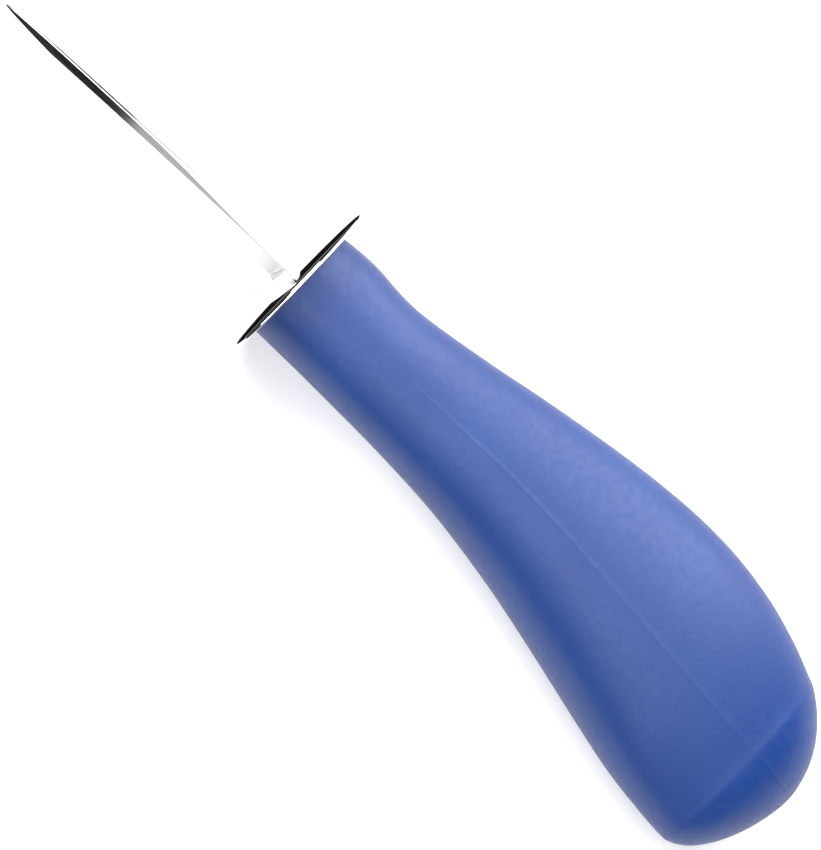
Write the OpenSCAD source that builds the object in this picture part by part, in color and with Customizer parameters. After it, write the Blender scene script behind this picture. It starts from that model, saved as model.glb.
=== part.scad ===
// Oyster knife, lying on its side: lancet blade, round polished guard and moulded palm handle.
// It is drawn about the blade's axis, with x = 0 in the plane of the guard's rim, +X towards the point
// and the thumb on the -Y side, and is then tilted and shifted so that rim and palm rest on z = 0.

/* [Blade] */
// Length of the blade in front of the guard
blade_len = 60; // [45:1:75]
// Width of the blade where it meets the guard
blade_w = 16; // [13:0.5:16.5]
// Thickness of the blade
blade_t = 1.6; // [1.6:0.1:2.5]
// Length of the blade's root before its sides begin to curve in
root_len = 16; // [8:1:24]
// Thickness left along the sharpened edges
edge_t = 0.2; // [0.1:0.05:0.4]
// Distance from the guard at which the edges have reached their final thinness
edge_run = 30; // [20:1:40]
// Distance from the guard at which the flat of the blade ends in a ridge
flat_len = 51; // [35:1:58]
// Width left on the flat at the ridge
ridge_w = 0.3; // [0.2:0.1:0.6]
// Width of the blunt point
point_w = 0.6; // [0.4:0.1:1.2]

/* [Tang] */
// Length of the tang behind the guard's rim
tang_len = 68; // [45:1:80]
// Width of the tang
tang_w = 9; // [7:0.5:10]
// Thickness of the tang, a little less than the blade's
tang_t = 1.5; // [1:0.1:1.5]
// Diameter of the tang's holes
tang_hole_d = 4.5; // [3:0.25:5]
// Distance from the guard's rim to the first hole
first_hole_at = 26; // [18:1:30]
// Distance between the two holes
hole_pitch = 26; // [20:1:30]

/* [Guard] */
// Diameter of the guard
guard_d = 35.4; // [32:0.2:42]
// Height of the guard's dome
guard_h = 3; // [2.4:0.1:4.5]
// Diameter of the flat land that the blade's shoulders sit on
land_d = 17; // [16.8:0.1:18]
// Thickness of the sheet at the land
sheet_t = 1.2; // [0.8:0.1:1.5]
// Width of the rim's back edge
rim_w = 1.1; // [0.8:0.1:1.5]
// Height of the upright edge round the rim
rim_h = 0.3; // [0.2:0.1:0.6]

/* [Handle] */
// Length of the handle behind the guard's rim
handle_len = 112.9; // [100:0.5:125]
// Height of the neck above the blade's axis, on the thumb side
neck_up = 10.1; // [9:0.1:10.8]
// Depth of the neck below the blade's axis, on the finger side
neck_down = 9.8; // [9:0.1:10.8]
// Width of the neck
neck_w = 19.2; // [17:0.2:21]
// Height of the crown above the blade's axis
crown_up = 17.5; // [15:0.1:19]
// Depth of the heel below the blade's axis
heel_down = 23; // [20:0.1:25]
// Width of the palm
palm_w = 26.6; // [23:0.2:30]
// How far the parting line drops below the blade's axis at the heel
parting_drop = 4.8; // [2:0.1:6]
// Fullness of the handle's section, where 2 is an ellipse
fullness = 2.2; // [2:0.05:2.6]

/* [Fits] */
// Gap between the plastic and the steel it is moulded round
mould_gap = 0.05; // [0.03:0.01:0.1]
// Gap between the tang and the guard's slot
slot_gap = 0.15; // [0.1:0.05:0.4]

/* [Hidden] */

// Curves of the blade's edge and of the guard's dome
edge_bend = 1.3;
edge_round = 0.6;
flat_bend = 1.6;
bevel_slope = 0.18;
dome_bend = 1.3;
blade_stations = 32;
dome_steps = 18;

// Sides and steps of the handle's loft
handle_sides = 40;
steps_per_row = 3;

// Half sizes used by several pieces
half_w = blade_w / 2;
half_t = blade_t / 2;
guard_r = guard_d / 2;
hollow_h = guard_h - sheet_t;
hollow_land_r = max(neck_up, neck_down) + 1;
hole_stations = [first_hole_at, first_hole_at + hole_pitch];

function blend(a, b, t) = a + (b - a) * t;
function smooth(t) = let (c = min(1, max(0, t))) c * c * (3 - 2 * c);
function signed_pow(v, p) = sign(v) * pow(abs(v), p);

// Half width of the blade and of its flat, x millimetres in front of the guard
function edge_half(x) =
    let (u = max(0, (x - root_len) / (blade_len - root_len)))
    max(point_w / 2, half_w * pow(1 - pow(min(1, u), edge_bend), edge_round));
function flat_half(x) =
    let (u = min(1, x / flat_len))
    min(edge_half(x) - point_w / 4, max(ridge_w / 2, (half_w - 0.4) * (1 - pow(u, flat_bend))));

// Half thickness of the blade at its edge and at its flat
function edge_half_t(x) = blend(half_t, edge_t / 2, smooth((x - 4) / (edge_run - 4)));
function flat_half_t(x) = min(half_t, edge_half_t(x) + bevel_slope * edge_half(x));

// Stations of the blade from its point back to the guard, closer together near the point
blade_xs = [for (i = [blade_stations : -1 : 0]) blade_len * sin(90 * i / blade_stations)];
function blade_ring(x) =
    let (e = edge_half(x), f = flat_half(x), a = edge_half_t(x), b = flat_half_t(x))
    [for (p = [[a, e], [-a, e], [-b, f], [-b, -f], [-a, -e], [a, -e], [b, -f], [b, f]])
        [guard_h + x, p[0], p[1]]];

// Radius and height points of the guard's outside and of the hollow behind it
function dome(r, flat_r, edge_r, low, high) =
    low + (high - low) * sqrt(max(0, 1 - pow(max(0, r - flat_r) / (edge_r - flat_r), dome_bend)));
function dome_line(flat_r, edge_r, low, high) =
    [for (i = [0 : dome_steps])
        let (r = flat_r + (edge_r - flat_r) * sin(90 * i / dome_steps))
        [r, dome(r, flat_r, edge_r, low, high)]];
function reversed(list) = [for (i = [len(list) - 1 : -1 : 0]) list[i]];

guard_outside = dome_line(land_d / 2, guard_r, rim_h, guard_h);
guard_hollow = dome_line(hollow_land_r, guard_r - rim_w, 0, hollow_h);
guard_profile = concat([[0, guard_h]], guard_outside, [[guard_r, 0]],
                       reversed(guard_hollow), [[0, hollow_h]]);

// Rows along the handle up to the butt: share of the length, then how far the thumb side, the finger side
// and the width have grown from the neck's size to the palm's
GROWTH = [
    [0.000, 0.01, 0.00, 0.00],
    [0.062, 0.07, 0.00, 0.03],
    [0.150, 0.00, 0.01, 0.05],
    [0.266, 0.24, 0.04, 0.16],
    [0.372, 0.53, 0.11, 0.42],
    [0.487, 0.80, 0.27, 0.70],
    [0.576, 0.95, 0.44, 0.88],
    [0.647, 1.00, 0.59, 0.98],
    [0.717, 0.95, 0.74, 1.00],
    [0.788, 0.77, 0.88, 0.90],
    [0.850, 0.49, 0.96, 0.68]
];
BUTT_START = [0.899, 0.19, 1.00, 0.42];
BUTT_SHARES = [0.00, 0.20, 0.45, 0.68, 0.86, 0.97, 1.00];
butt_bend = 1.7;
butt_round = 1 / 1.75;

// A row is distance behind the rim, height, depth and half width
function grown_row(g) = [
    g[0] * handle_len,
    blend(neck_up, crown_up, g[1]),
    blend(neck_down, heel_down, g[2]),
    blend(neck_w, palm_w, g[3]) / 2
];
butt = grown_row(BUTT_START);
butt_mid = (butt[2] - butt[1]) / 2;
butt_half = (butt[2] + butt[1]) / 2;
function butt_row(x) =
    let (k = pow(max(0, 1 - pow(x, butt_bend)), butt_round),
         mid = butt_mid + butt_half * (0.048 * sin(180 * x) - 0.043 * x * x))
    [blend(butt[0], handle_len, x), k * butt_half - mid, k * butt_half + mid, k * butt[3]];

front_row = let (g = grown_row(GROWTH[0])) [mould_gap - hollow_h, g[1], g[2], g[3]];
butt_rows = [for (x = BUTT_SHARES) butt_row(x)];
last_row = butt_rows[len(butt_rows) - 2];
mirror_row = [last_row[0], -last_row[2], -last_row[1], -last_row[3]];
rows = concat([front_row], [for (g = GROWTH) grown_row(g)], butt_rows);
ends = concat([2 * rows[0] - rows[1]], rows, [mirror_row]);

// Smooth curve through the rows
function curve(p, t) =
    0.5 * (2 * p[1] + (p[2] - p[0]) * t + (2 * p[0] - 5 * p[1] + 4 * p[2] - p[3]) * t * t
        + (3 * p[1] - p[0] - 3 * p[2] + p[3]) * t * t * t);
function row_at(i, t) = curve([for (k = [0 : 3]) ends[i + k]], t);

sections = [for (i = [0 : len(rows) - 2]) for (s = [0 : steps_per_row - 1]) row_at(i, s / steps_per_row)];
butt_point = rows[len(rows) - 1];

// The parting line leaves the blade's axis behind the neck and drops towards the heel
function parting(d) = parting_drop * smooth((d / handle_len - 0.35) / 0.6);
function section_ring(s) =
    let (mid = min(parting(s[0]), max(0, s[2] - 0.5)))
    [for (i = [0 : handle_sides - 1])
        let (c = signed_pow(cos(360 * i / handle_sides), 2 / fullness),
             h = signed_pow(sin(360 * i / handle_sides), 2 / fullness))
        [-s[0], mid + c * (c > 0 ? s[2] - mid : s[1] + mid), h * s[3]]];

// The knife tips until the palm meets the surface that the guard's rim stands on
rest_tilt = atan(min([for (s = sections) if (s[0] > handle_len / 3) (guard_r - s[3]) / s[0]]));
rest_lift = guard_r * cos(rest_tilt);
centre_x = (handle_len - guard_h - blade_len) / 2 * cos(rest_tilt);
finger_side = max([for (s = sections) s[2]]);
thumb_side = max(guard_r, max([for (s = sections) s[1]]));
centre_y = (thumb_side - max(guard_r, finger_side)) / 2;

module at_rest() {
    translate([centre_x, centre_y, rest_lift])
        rotate([0, -rest_tilt, 0])
            children();
}

// Skin over rings of equal length, taken in the -X direction and closed by a fan from a point at each end
module loft(rings, start, finish) {
    n = len(rings[0]);
    last = len(rings) - 1;
    points = concat([start], [for (ring = rings) for (p = ring) p], [finish]);
    end = len(points) - 1;
    nose = [for (i = [0 : n - 1]) [0, 1 + (i + 1) % n, 1 + i]];
    sides = [for (r = [0 : last - 1]) for (i = [0 : n - 1])
        let (a = 1 + r * n + i, b = 1 + r * n + (i + 1) % n)
        each [[a, b, a + n], [b, b + n, a + n]]];
    tail = [for (i = [0 : n - 1]) [end, 1 + last * n + i, 1 + last * n + (i + 1) % n]];
    polyhedron(points, concat(nose, sides, tail), convexity = 8);
}

// Bar of the tang's section from x = low to x = high, grown by a gap on every long side
module tang_bar(low, high, gap) {
    translate([low, -tang_t / 2 - gap, -tang_w / 2 - gap])
        cube([high - low, tang_t + 2 * gap, tang_w + 2 * gap]);
}

module across_tang(diameter, width) {
    for (station = hole_stations)
        translate([-station, 0, 0])
            rotate([90, 0, 0])
                cylinder(h = width, d = diameter, center = true, $fn = 48);
}

module blade() {
    color("gainsboro")
        at_rest()
            difference() {
                union() {
                    loft([for (x = blade_xs) blade_ring(x)], [guard_h + blade_len, 0, 0], [guard_h, 0, 0]);
                    tang_bar(-tang_len, guard_h + 1, 0);
                }
                across_tang(tang_hole_d, tang_t + 2);
            }
}

module guard() {
    color("silver")
        at_rest()
            difference() {
                rotate([0, 90, 0])
                    rotate_extrude($fn = 96)
                        polygon(guard_profile);
                tang_bar(-1, guard_h + 1, slot_gap);
            }
}

module handle() {
    color("royalblue")
        at_rest()
            union() {
                difference() {
                    loft([for (s = sections) section_ring(s)],
                         [-sections[0][0], 0, 0], [-butt_point[0], butt_point[2], 0]);
                    tang_bar(-tang_len - mould_gap, guard_h, mould_gap);
                }
                across_tang(tang_hole_d - 2 * mould_gap, tang_t + 1);
            }
}

blade();
guard();
handle();
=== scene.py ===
"""Oyster knife on a pale floor: smooth handle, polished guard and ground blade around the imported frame."""

import math

import bpy
from mathutils import Matrix, Vector


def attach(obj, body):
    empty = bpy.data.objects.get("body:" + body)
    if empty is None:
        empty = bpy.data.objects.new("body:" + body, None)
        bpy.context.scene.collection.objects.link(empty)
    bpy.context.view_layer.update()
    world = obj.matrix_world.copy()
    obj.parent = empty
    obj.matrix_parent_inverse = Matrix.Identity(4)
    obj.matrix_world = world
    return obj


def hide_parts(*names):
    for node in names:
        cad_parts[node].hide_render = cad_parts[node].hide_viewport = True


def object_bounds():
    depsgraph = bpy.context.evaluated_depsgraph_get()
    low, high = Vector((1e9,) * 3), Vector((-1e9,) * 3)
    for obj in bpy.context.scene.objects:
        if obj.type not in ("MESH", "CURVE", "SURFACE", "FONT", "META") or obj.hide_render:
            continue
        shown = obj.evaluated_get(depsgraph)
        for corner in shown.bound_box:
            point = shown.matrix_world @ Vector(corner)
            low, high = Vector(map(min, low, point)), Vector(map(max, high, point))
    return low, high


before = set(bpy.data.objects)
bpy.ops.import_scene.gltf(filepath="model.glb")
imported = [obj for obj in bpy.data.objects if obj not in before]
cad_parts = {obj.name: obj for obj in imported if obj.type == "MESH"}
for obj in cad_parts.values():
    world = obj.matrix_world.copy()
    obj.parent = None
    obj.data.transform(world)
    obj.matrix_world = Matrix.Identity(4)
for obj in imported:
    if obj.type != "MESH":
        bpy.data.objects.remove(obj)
cad_low, cad_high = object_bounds()

# The sizes of the blade, guard and handle are in millimetres
MM = 0.001

# Blade
BLADE_LEN = 60.0
BLADE_W = 16.0
BLADE_T = 1.6
ROOT_LEN = 16.0
EDGE_T = 0.2
EDGE_RUN = 30.0
FLAT_LEN = 51.0
RIDGE_W = 0.3
POINT_W = 0.6
EDGE_BEND = 1.3
EDGE_ROUND = 0.6
FLAT_BEND = 1.6
BEVEL_SLOPE = 0.18
EDGE_START = 4.0
FLAT_INSET = 0.4
BLADE_STATIONS = 120
FLAT, BEVEL, EDGE = 0, 1, 2

# Guard
GUARD_R = 17.7
GUARD_H = 3.0
LAND_R = 8.5
SHEET_T = 1.2
RIM_W = 1.1
RIM_H = 0.3
DOME_BEND = 1.3
DOME_STEPS = 48
GUARD_SIDES = 192
NECK_ROOM = 1.0
SLOT_HALF = (0.9, 4.65)
# Inset and height of the points that break the rim's edge
RIM_EDGE = ((0, RIM_H * 0.5), (0.03, 0.02), (0.08, 0))

# Handle
HANDLE_LEN = 112.9
NECK_UP, NECK_DOWN, NECK_W = 10.1, 9.8, 19.2
CROWN_UP, HEEL_DOWN, PALM_W = 17.5, 23.0, 26.6
PARTING_DROP = 4.8
FULLNESS = 2.2
MOULD_GAP = 0.05
HANDLE_SIDES = 128
STEPS_PER_ROW = 14
SEAM_HALF_ANGLE = 0.3
SEAM_H = 0.045
SEAM_START, SEAM_FADE, SEAM_END_W = 0.1, 0.3, 4
PARTING_START, PARTING_RUN = 0.35, 0.6
LEAST_DEPTH = 0.5
# Share of the length, then of the growth in height, depth and width
GROWTH = [
    (0.000, 0.01, 0.00, 0.00),
    (0.062, 0.07, 0.00, 0.03),
    (0.150, 0.00, 0.01, 0.05),
    (0.266, 0.24, 0.04, 0.16),
    (0.372, 0.53, 0.11, 0.42),
    (0.487, 0.80, 0.27, 0.70),
    (0.576, 0.95, 0.44, 0.88),
    (0.647, 1.00, 0.59, 0.98),
    (0.717, 0.95, 0.74, 1.00),
    (0.788, 0.77, 0.88, 0.90),
    (0.850, 0.49, 0.96, 0.68),
]
BUTT_START = (0.899, 0.19, 1.00, 0.42)
BUTT_SHARES = (0.00, 0.20, 0.45, 0.68, 0.86, 0.97, 1.00)
BUTT_BEND = 1.7
BUTT_ROUND = 1 / 1.75
BUTT_SWELL, BUTT_DROP = 0.048, 0.043

# Photograph's view
IMAGE_W, IMAGE_H = 821, 850
MM_PER_PX = 0.1572
GUARD_CENTRE_PX = (294.6, 281.7)
AXIS_ANGLE = math.radians(43.45)
VIEW_ROLL = math.radians(8.0)
VIEW_PITCH = math.radians(1.7)
CAMERA_DISTANCE = 3.0
SENSOR = 36.0
CLIP = (0.05, 20)

# Colours
PLASTIC_DEEP = (0.0010, 0.029, 0.168)
PLASTIC_PALE = (0.0014, 0.034, 0.186)
FLOOR_SEEN = (0.93, 0.93, 0.93)
# Greyer floor that only the metal sees: painted shade that stands in for the floor's shade under the guard
FLOOR_PAINTED_SHADE_IN_METAL = (0.74, 0.74, 0.74)
CARD_BLACK = (0.004, 0.004, 0.004, 1)

# Studio, in metres and watts
AMBIENT = 0.55
ROOM_IN_METAL = 0.05
# The first strength also serves every kind of ray that the other two don't name
WORLD_LIGHT = (("Is Diffuse Ray", AMBIENT), ("Is Glossy Ray", ROOM_IN_METAL), ("Is Camera Ray", 1.0))
FLOOR_REACH = 3.0
CARD_START = 0.036
CARD_THUMB = 0.0045
CARD_FINGER = 0.007
CARD_REACH = 0.6
CARD_H = 0.0008
# Name, place, sizes with the upright one first, and power
LAMPS = (
    ("window", (-0.05, -0.62, 0.36), (1.0, 0.5), 9.0),
    ("strip", (-0.05, 0.40, 0.58), (0.8, 0.06), 1.6),
    ("front", (0.45, -0.05, 0.62), (0.30, 0.5), 3.5),
    ("overhead", (-0.05, 0.0, 1.4), (1.4, 1.4), 12.0),
)


def blend(a, b, t):
    return a + (b - a) * t


def smooth(t):
    c = min(1.0, max(0.0, t))
    return c * c * (3 - 2 * c)


def signed_pow(v, p):
    return math.copysign(abs(v) ** p, v)


def curve(p, t):
    """Catmull-Rom value between p[1] and p[2]."""
    return 0.5 * (2 * p[1] + (p[2] - p[0]) * t + (2 * p[0] - 5 * p[1] + 4 * p[2] - p[3]) * t * t
                  + (3 * p[1] - p[0] - 3 * p[2] + p[3]) * t ** 3)


def edge_half(x):
    u = max(0.0, (x - ROOT_LEN) / (BLADE_LEN - ROOT_LEN))
    return max(POINT_W / 2, BLADE_W / 2 * (1 - min(1.0, u) ** EDGE_BEND) ** EDGE_ROUND)


def flat_half(x):
    u = min(1.0, x / FLAT_LEN)
    widest = BLADE_W / 2 - FLAT_INSET
    return min(edge_half(x) - POINT_W / 4, max(RIDGE_W / 2, widest * (1 - u ** FLAT_BEND)))


def edge_half_t(x):
    return blend(BLADE_T / 2, EDGE_T / 2, smooth((x - EDGE_START) / (EDGE_RUN - EDGE_START)))


def flat_half_t(x):
    return min(BLADE_T / 2, edge_half_t(x) + BEVEL_SLOPE * edge_half(x))


def grown_row(g):
    return (g[0] * HANDLE_LEN, blend(NECK_UP, CROWN_UP, g[1]), blend(NECK_DOWN, HEEL_DOWN, g[2]),
            blend(NECK_W, PALM_W, g[3]) / 2)


def handle_sections():
    """Distance behind the rim, height, depth and half width along the handle, then the butt's point."""
    butt = grown_row(BUTT_START)
    butt_mid = (butt[2] - butt[1]) / 2
    butt_half = (butt[2] + butt[1]) / 2
    rows = [grown_row(g) for g in GROWTH]
    rows.insert(0, (MOULD_GAP - (GUARD_H - SHEET_T),) + rows[0][1:])
    for x in BUTT_SHARES:
        k = max(0.0, 1 - x ** BUTT_BEND) ** BUTT_ROUND
        mid = butt_mid + butt_half * (BUTT_SWELL * math.sin(math.pi * x) - BUTT_DROP * x * x)
        rows.append((blend(butt[0], HANDLE_LEN, x), k * butt_half - mid, k * butt_half + mid, k * butt[3]))
    before = tuple(2 * a - b for a, b in zip(rows[0], rows[1]))
    d, up, down, half = rows[-2]
    ends = [before] + rows + [(d, -down, -up, -half)]
    found = []
    for i in range(len(rows) - 1):
        columns = list(zip(*ends[i:i + 4]))
        for s in range(STEPS_PER_ROW):
            found.append(tuple(curve(column, s / STEPS_PER_ROW) for column in columns))
    return found, rows[-1]


def parting(d):
    return PARTING_DROP * smooth((d / HANDLE_LEN - PARTING_START) / PARTING_RUN)


def section_point(s, angle, lift):
    """Point at an angle round one of the handle's sections, with the half width grown by lift."""
    mid = min(parting(s[0]), max(0.0, s[2] - LEAST_DEPTH))
    c = signed_pow(math.cos(angle), 2 / FULLNESS)
    h = signed_pow(math.sin(angle), 2 / FULLNESS)
    reach = s[2] - mid if c > 0 else s[1] + mid
    return (-s[0], mid + c * reach, h * (s[3] + lift))


SECTIONS, BUTT_POINT = handle_sections()

# The CAD model's tilt, from the handle's sections, and its place, from its box and the guard's radius
TILT = math.atan(min((GUARD_R - s[3]) / s[0] for s in SECTIONS if s[0] > HANDLE_LEN / 3))
GUARD_PLACE = Vector((
    (HANDLE_LEN - GUARD_H - BLADE_LEN) / 2 * math.cos(TILT),
    cad_low.y / MM + GUARD_R,
    GUARD_R * math.cos(TILT),
))
AT_REST = Matrix.Translation(GUARD_PLACE * MM) @ Matrix.Rotation(-TILT, 4, "Y") @ Matrix.Scale(MM, 4)


def make_piece(name, node, points, faces, materials, indices=None):
    """Adds a piece in place of a CAD node. With several materials, indices gives each face its own."""
    mesh = bpy.data.meshes.new(name)
    mesh.from_pydata([AT_REST @ Vector(p) for p in points], [], faces)
    mesh.validate()
    mesh.update()
    for m in materials:
        mesh.materials.append(m)
    for k, poly in enumerate(mesh.polygons):
        poly.use_smooth = True
        if indices:
            poly.material_index = indices[k]
    piece = bpy.data.objects.new(name, mesh)
    bpy.context.scene.collection.objects.link(piece)
    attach(piece, "root")
    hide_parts(node)


def ring_faces(rings, n):
    faces = []
    for r in range(rings - 1):
        for i in range(n):
            a, b = r * n + i, r * n + (i + 1) % n
            faces.append((a, b, b + n, a + n))
    return faces


class Nodes:
    """Short way to build one material's node tree."""

    def __init__(self, name):
        self.material = bpy.data.materials.new(name)
        self.material.use_nodes = True
        self.tree = self.material.node_tree
        self.shader = self.tree.nodes["Principled BSDF"]
        self.coord = self.add("ShaderNodeTexCoord")

    def add(self, kind, **values):
        node = self.tree.nodes.new(kind)
        for key, value in values.items():
            if key in node.inputs:
                node.inputs[key].default_value = value
            else:
                setattr(node, key, value)
        return node

    def link(self, a, b):
        self.tree.links.new(a, b)

    def mapped(self, scale):
        mapping = self.add("ShaderNodeMapping", Scale=scale)
        self.link(self.coord.outputs["Object"], mapping.inputs["Vector"])
        return mapping.outputs["Vector"]

    def noise(self, vector, scale, detail=2.0, roughness=0.5):
        node = self.add("ShaderNodeTexNoise", Scale=scale, Detail=detail, Roughness=roughness)
        self.link(vector, node.inputs["Vector"])
        return node.outputs["Fac"]

    def remap(self, value, low, high, to_low, to_high):
        node = self.add("ShaderNodeMapRange")
        for key, v in zip(("From Min", "From Max", "To Min", "To Max"), (low, high, to_low, to_high)):
            node.inputs[key].default_value = v
        self.link(value, node.inputs["Value"])
        return node.outputs["Result"]

    def mix(self, factor, a, b):
        node = self.add("ShaderNodeMix", data_type="RGBA")
        self.link(factor, node.inputs[0])
        node.inputs[6].default_value = (*a, 1)
        node.inputs[7].default_value = (*b, 1)
        return node.outputs[2]

    def bump(self, height, strength, distance, normal=None):
        node = self.add("ShaderNodeBump", Strength=strength, Distance=distance)
        self.link(height, node.inputs["Height"])
        if normal:
            self.link(normal, node.inputs["Normal"])
        return node.outputs["Normal"]


def plastic():
    """Satin blue moulding with a fine eroded grain and a faint unevenness of the colour."""
    n = Nodes("handle_plastic")
    where = n.mapped((1, 1, 1))
    colour = n.mix(n.remap(n.noise(where, 60, 3), 0.35, 0.65, 0, 1), PLASTIC_DEEP, PLASTIC_PALE)
    n.link(colour, n.shader.inputs["Base Color"])
    n.link(n.remap(n.noise(where, 900, 2), 0.3, 0.7, 0.40, 0.50), n.shader.inputs["Roughness"])
    coarse = n.bump(n.noise(where, 700, 2), 0.10, 0.0004)
    n.link(n.bump(n.noise(where, 2200, 3, 0.6), 0.22, 0.00012, coarse), n.shader.inputs["Normal"])
    n.shader.inputs["Specular IOR Level"].default_value = 0.5
    return n.material


def steel(name, dark, light, rough, along, across, strength):
    """Metal with a directional grind: along and across are the noise's scales along X and Z."""
    n = Nodes(name)
    where = n.mapped((along, 1, across))
    lines = n.noise(where, 1, 4, 0.6)
    n.link(n.mix(n.remap(lines, 0.3, 0.7, 0, 1), dark, light), n.shader.inputs["Base Color"])
    n.link(n.remap(lines, 0.3, 0.7, rough * 0.8, rough * 1.25), n.shader.inputs["Roughness"])
    n.link(n.bump(lines, strength, 0.00005), n.shader.inputs["Normal"])
    n.shader.inputs["Metallic"].default_value = 1.0
    return n.material


def polish():
    """Mirror polish with very faint wipe marks."""
    n = Nodes("guard_steel")
    where = n.mapped((1, 1, 1))
    haze = n.noise(where, 180, 3)
    n.link(n.mix(haze, (0.80, 0.80, 0.80), (0.86, 0.86, 0.86)), n.shader.inputs["Base Color"])
    n.link(n.remap(haze, 0.3, 0.7, 0.035, 0.08), n.shader.inputs["Roughness"])
    n.link(n.bump(n.noise(where, 250, 1), 0.02, 0.0002), n.shader.inputs["Normal"])
    n.shader.inputs["Metallic"].default_value = 1.0
    return n.material


def make_handle():
    seam = math.radians(SEAM_HALF_ANGLE)
    angles = [2 * math.pi * i / HANDLE_SIDES for i in range(HANDLE_SIDES)]
    quarter = (math.pi / 2, 3 * math.pi / 2)
    angles = sorted(angles + [q + side * seam for q in quarter for side in (-1, 1)])
    n = len(angles)
    points = []
    for s in SECTIONS:
        proud = SEAM_H * smooth((s[0] / HANDLE_LEN - SEAM_START) / SEAM_FADE) * min(1.0, s[3] / SEAM_END_W)
        for a in angles:
            lift = proud if min(abs(a - q) for q in quarter) < seam / 2 else 0.0
            points.append(section_point(s, a, lift))
    faces = ring_faces(len(SECTIONS), n)
    points += [(-SECTIONS[0][0], 0, 0), (-BUTT_POINT[0], BUTT_POINT[2], 0)]
    front, butt = len(points) - 2, len(points) - 1
    last = (len(SECTIONS) - 1) * n
    for i in range(n):
        faces.append((front, (i + 1) % n, i))
        faces.append((butt, last + i, last + (i + 1) % n))
    make_piece("handle_shell", "handle", points, faces, [plastic()])


def dome(r, flat_r, edge_r, low, high):
    u = max(0.0, r - flat_r) / (edge_r - flat_r)
    return low + (high - low) * math.sqrt(max(0.0, 1 - u ** DOME_BEND))


def dome_line(flat_r, edge_r, low, high):
    shares = [math.sin(math.pi / 2 * i / DOME_STEPS) for i in range(DOME_STEPS + 1)]
    radii = [blend(flat_r, edge_r, share) for share in shares]
    return [(r, dome(r, flat_r, edge_r, low, high)) for r in radii]


def make_guard():
    outside = dome_line(LAND_R, GUARD_R, RIM_H, GUARD_H)
    hollow = dome_line(max(NECK_UP, NECK_DOWN) + NECK_ROOM, GUARD_R - RIM_W, 0, GUARD_H - SHEET_T)
    profile = [(SLOT_HALF[1], GUARD_H)] + outside
    profile += [(GUARD_R - inset, height) for inset, height in RIM_EDGE]
    profile += hollow[::-1] + [(SLOT_HALF[1], GUARD_H - SHEET_T)]
    points = []
    for r, h in profile:
        for i in range(GUARD_SIDES):
            a = 2 * math.pi * i / GUARD_SIDES
            points.append((h, r * math.cos(a), r * math.sin(a)))
    # The innermost rings follow the tang's slot instead of a circle
    last = (len(profile) - 1) * GUARD_SIDES
    for start in (0, last):
        for i in range(GUARD_SIDES):
            a = 2 * math.pi * i / GUARD_SIDES
            c, s = math.cos(a), math.sin(a)
            reach = min(SLOT_HALF[0] / max(1e-9, abs(c)), SLOT_HALF[1] / max(1e-9, abs(s)))
            points[start + i] = (points[start + i][0], reach * c, reach * s)
    faces = [f[::-1] for f in ring_faces(len(profile), GUARD_SIDES)]
    for i in range(GUARD_SIDES):
        j = (i + 1) % GUARD_SIDES
        faces.append((i, last + i, last + j, j)[::-1])
    make_piece("guard_dish", "guard", points, faces, [polish()])


def make_blade():
    flats = steel("blade_flat", (0.62, 0.62, 0.62), (0.72, 0.72, 0.72), 0.22, 60, 2500, 0.06)
    # Bevel steel is darker: partly its ground finish, partly painted dark reflection of the surroundings
    bevels_grind_and_painted_reflection = steel("blade_bevel_grind_and_painted_reflection", (0.20, 0.20, 0.20), (0.34, 0.34, 0.34), 0.30, 60, 3000, 0.10)
    edges = steel("blade_edge", (0.42, 0.42, 0.42), (0.62, 0.62, 0.62), 0.38, 5200, 60, 0.15)
    xs = [BLADE_LEN * math.sin(math.pi / 2 * i / BLADE_STATIONS) for i in range(BLADE_STATIONS + 1)][::-1]
    # Strips round the section: which of the three steels each one has. The bevel's steel is darkened partly
    # by its grind and partly by painted dark reflection
    strip_steels = [EDGE, BEVEL, FLAT, BEVEL, EDGE, BEVEL, FLAT, BEVEL]
    points, faces, indices = [], [], []
    for x in xs:
        e, f, a, b = edge_half(x), flat_half(x), edge_half_t(x), flat_half_t(x)
        ring = [(a, e), (-a, e), (-b, f), (-b, -f), (-a, -e), (a, -e), (b, -f), (b, f)]
        points += [(GUARD_H + x, y, z) for y, z in ring]
    corner_points, corner_faces = [], []
    n = len(strip_steels)
    for strip in range(n):
        base = len(corner_points)
        for r in range(len(xs)):
            corner_points.append(points[r * n + strip])
            corner_points.append(points[r * n + (strip + 1) % n])
        for r in range(len(xs) - 1):
            a = base + 2 * r
            corner_faces.append((a, a + 1, a + 3, a + 2))
            indices.append(strip_steels[strip])
    for ring_start, flip in ((0, False), ((len(xs) - 1) * n, True)):
        base = len(corner_points)
        corner_points += points[ring_start:ring_start + n]
        face = tuple(base + i for i in range(n))
        corner_faces.append(face[::-1] if flip else face)
        indices.append(EDGE)
    make_piece("blade_steel", "blade", corner_points, corner_faces,
               [flats, bevels_grind_and_painted_reflection, edges], indices)


def make_floor():
    mesh = bpy.data.meshes.new("floor")
    r = FLOOR_REACH
    mesh.from_pydata([(-r, -r, 0), (r, -r, 0), (r, r, 0), (-r, r, 0)], [], [(0, 1, 2, 3)])
    floor = bpy.data.objects.new("floor", mesh)
    bpy.context.scene.collection.objects.link(floor)
    n = Nodes("floor_white")
    path = n.add("ShaderNodeLightPath")
    # Reflected rays see the greyer floor colour, which is painted shade in the guard's reflection
    n.link(n.mix(path.outputs["Is Glossy Ray"], FLOOR_SEEN, FLOOR_PAINTED_SHADE_IN_METAL), n.shader.inputs["Base Color"])
    n.shader.inputs["Roughness"].default_value = 0.9
    n.shader.inputs["Specular IOR Level"].default_value = 0.0
    mesh.materials.append(n.material)


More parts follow.
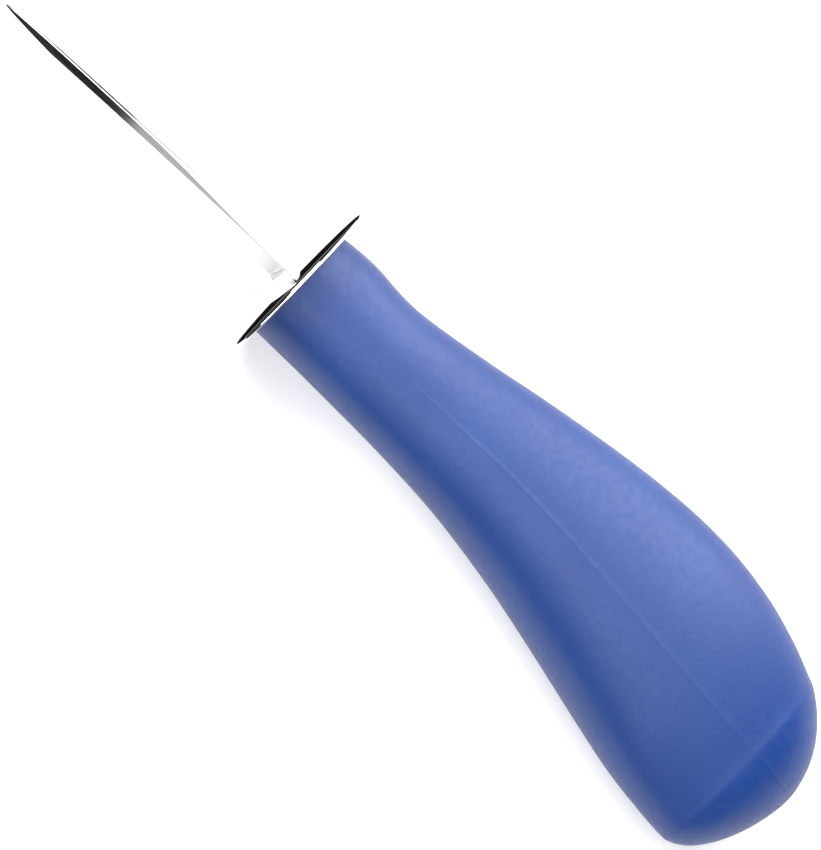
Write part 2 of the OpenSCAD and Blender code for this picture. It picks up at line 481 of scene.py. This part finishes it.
def make_world():
    """White for the camera, an even pale light for matt surfaces and a dim room in reflections."""
    world = bpy.data.worlds.new("studio")
    bpy.context.scene.world = world
    world.use_nodes = True
    tree = world.node_tree
    tree.nodes.clear()
    out, path = tree.nodes.new("ShaderNodeOutputWorld"), tree.nodes.new("ShaderNodeLightPath")
    even = None
    for ray, strength in WORLD_LIGHT:
        light = tree.nodes.new("ShaderNodeBackground")
        light.inputs["Color"].default_value = (1, 1, 1, 1)
        light.inputs["Strength"].default_value = strength
        if even is None:
            even = light.outputs[0]
            continue
        mix = tree.nodes.new("ShaderNodeMixShader")
        tree.links.new(path.outputs[ray], mix.inputs["Fac"])
        tree.links.new(even, mix.inputs[1])
        tree.links.new(light.outputs[0], mix.inputs[2])
        even = mix.outputs[0]
    tree.links.new(even, out.inputs["Surface"])


def make_card(name, corners):
    """Black card that shows only in reflections, as the photographer's flags do."""
    mesh = bpy.data.meshes.new(name)
    mesh.from_pydata(corners, [], [tuple(range(len(corners)))])
    n = Nodes(name)
    n.shader.inputs["Base Color"].default_value = CARD_BLACK
    n.shader.inputs["Specular IOR Level"].default_value = 0.0
    mesh.materials.append(n.material)
    card = bpy.data.objects.new(name, mesh)
    bpy.context.scene.collection.objects.link(card)
    for ray in ("camera", "diffuse", "shadow", "transmission", "volume_scatter"):
        setattr(card, "visible_" + ray, False)


def make_cards():
    """Cards on the floor at both sides of the blade, with a pale strip left open under it."""
    middle = GUARD_PLACE.y * MM
    guard_x = GUARD_PLACE.x * MM
    for name, near, side in (("card_thumb", CARD_THUMB, -1), ("card_finger", CARD_FINGER, 1)):
        low, high = sorted((middle + side * near, middle + side * CARD_REACH))
        make_card(name, [(guard_x + CARD_START, low, CARD_H), (CARD_REACH, low, CARD_H),
                         (CARD_REACH, high, CARD_H), (guard_x + CARD_START, high, CARD_H)])


def make_lamp(name, place, size, watts):
    """Area lamp that faces the origin and that the camera doesn't see."""
    lamp = bpy.data.lights.new(name, "AREA")
    lamp.shape = "RECTANGLE"
    lamp.size, lamp.size_y = size
    lamp.energy = watts
    obj = bpy.data.objects.new(name, lamp)
    obj.location = place
    obj.rotation_euler = (-Vector(place)).to_track_quat("-Z", "X").to_euler()
    obj.visible_camera = False
    bpy.context.scene.collection.objects.link(obj)


def make_camera():
    """Looks down on the knife, rolled about its axis, with the guard's centre where the photograph has it."""
    back = Vector((math.sin(VIEW_PITCH), math.sin(VIEW_ROLL), math.cos(VIEW_ROLL))).normalized()
    to_tip = (Vector((1, 0, 0)) - back * back.x).normalized()
    to_thumb = back.cross(to_tip) * -1
    right = to_tip * -math.cos(AXIS_ANGLE) + to_thumb * math.sin(AXIS_ANGLE)
    up = to_tip * math.sin(AXIS_ANGLE) + to_thumb * math.cos(AXIS_ANGLE)
    px = MM_PER_PX * MM
    across = (GUARD_CENTRE_PX[0] - IMAGE_W / 2) * px
    above = (IMAGE_H / 2 - GUARD_CENTRE_PX[1]) * px
    target = GUARD_PLACE * MM - right * across - up * above
    data = bpy.data.cameras.new("camera")
    camera = bpy.data.objects.new("camera", data)
    bpy.context.scene.collection.objects.link(camera)
    data.sensor_width = SENSOR
    data.lens = SENSOR * CAMERA_DISTANCE / (max(IMAGE_W, IMAGE_H) * px)
    data.clip_start, data.clip_end = CLIP
    turn = Matrix((right, up, back)).transposed().to_4x4()
    camera.matrix_world = Matrix.Translation(target + back * CAMERA_DISTANCE) @ turn
    bpy.context.scene.camera = camera


make_camera()
make_handle()
make_guard()
make_blade()
make_floor()
make_world()
make_cards()
for lamp in LAMPS:
    make_lamp(*lamp)
bpy.context.scene.view_settings.view_transform = "Standard"
